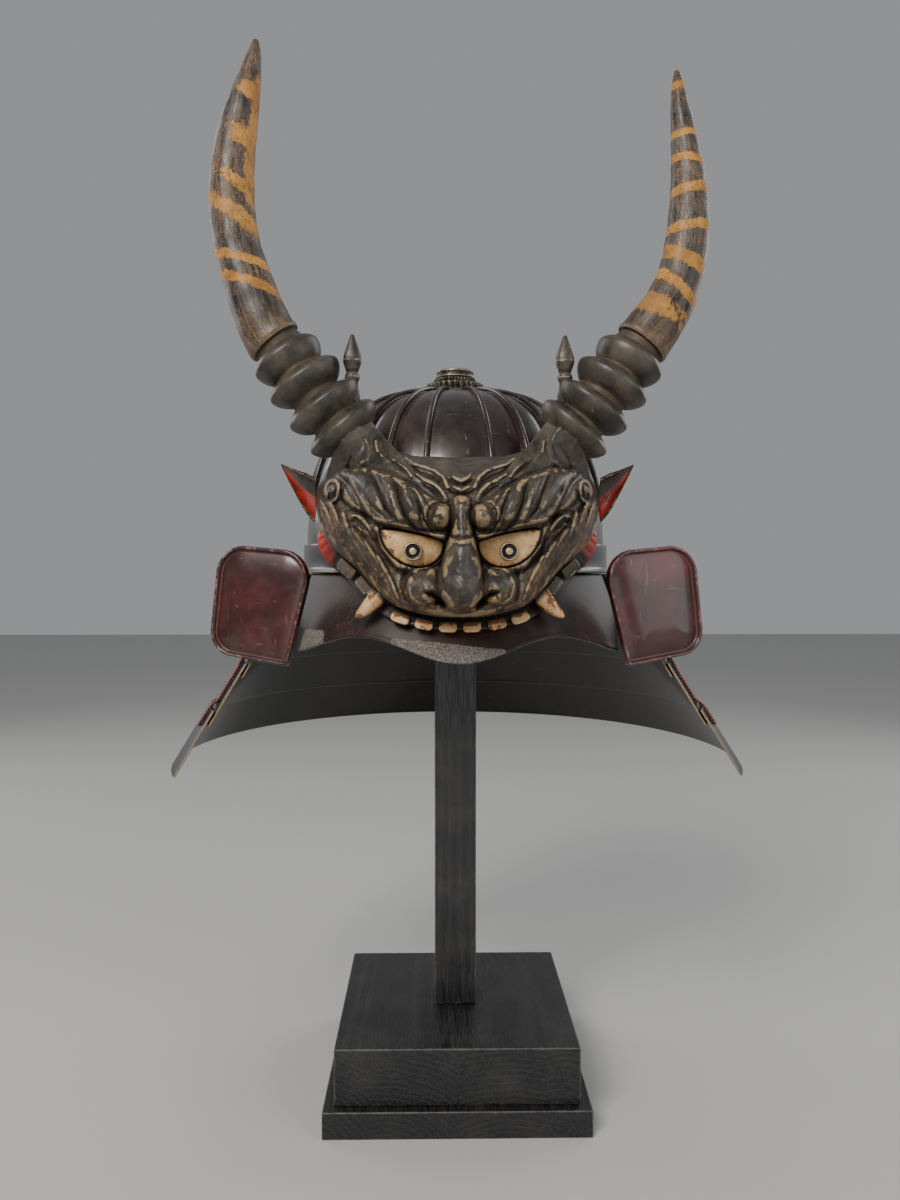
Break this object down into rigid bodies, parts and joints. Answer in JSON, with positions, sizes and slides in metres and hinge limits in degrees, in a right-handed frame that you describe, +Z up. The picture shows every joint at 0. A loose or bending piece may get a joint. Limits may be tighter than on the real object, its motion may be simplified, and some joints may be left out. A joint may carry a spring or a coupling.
{
  "type": "kabuto samurai helmet on display stand",
  "caption": "Ribbed lacquered helmet with peak, turn-backs, flared neck guard and a carved, horned demon crest, on a square timber display stand.",
  "frame": {"origin": "middle of the stand's underside", "axes": "+Z up; the helmet faces -Y; +X is to the right of a viewer who looks at its face"},
  "size_m": [0.4206, 0.4018, 0.7702],
  "materials": {
    "stand_wood": "black stain, satin",
    "bowl_lacquer": "dark brown lacquer, gloss",
    "aged_brass": "aged, satin",
    "red_lacquer": "dark red lacquer, gloss",
    "black_lacquer": "black lacquer, gloss",
    "silk": "braided silk, matt",
    "carved_wood": "worn black paint with ochre, satin",
    "vermilion": "red lacquer, satin",
    "cream_paint": "worn cream paint, matt",
    "iron": "dark, satin"
  },
  "bodies": {
    "root": {"base_slab": "stand_wood", "base_block": "stand_wood", "post": "stand_wood", "rest_block": "stand_wood", "bowl": "bowl_lacquer", "hip_band": "bowl_lacquer", "peak": "bowl_lacquer", "crown_plate": "aged_brass", "crown_petals": "aged_brass", "crown_beads": "aged_brass", "crown_collar": "aged_brass", "lame_1": "black_lacquer", "lame_2": "black_lacquer", "lame_3": "black_lacquer", "lame_4": "black_lacquer", "lacing_1": "silk", "lacing_2": "silk", "lacing_3": "silk", "lacing_4": "silk", "lacing_5": "silk", "lacing_6": "silk", "lacing_7": "silk", "lacing_8": "silk", "lacing_9": "silk", "lacing_10": "silk", "turnback_left": "red_lacquer", "horn_base_left": "carved_wood", "horn_left": "carved_wood", "bud_left": "carved_wood", "ear_left": "carved_wood", "molar_left_1": "carved_wood", "molar_left_2": "carved_wood", "eye_left": "cream_paint", "fang_left": "cream_paint", "pupil_left": "iron", "turnback_right": "red_lacquer", "horn_base_right": "carved_wood", "horn_right": "carved_wood", "bud_right": "carved_wood", "ear_right": "carved_wood", "molar_right_1": "carved_wood", "molar_right_2": "carved_wood", "eye_right": "cream_paint", "fang_right": "cream_paint", "pupil_right": "iron", "gum": "vermilion", "teeth": "cream_paint", "mask": "carved_wood", "crest_mount": "carved_wood"}
  },
  "joints": []
}
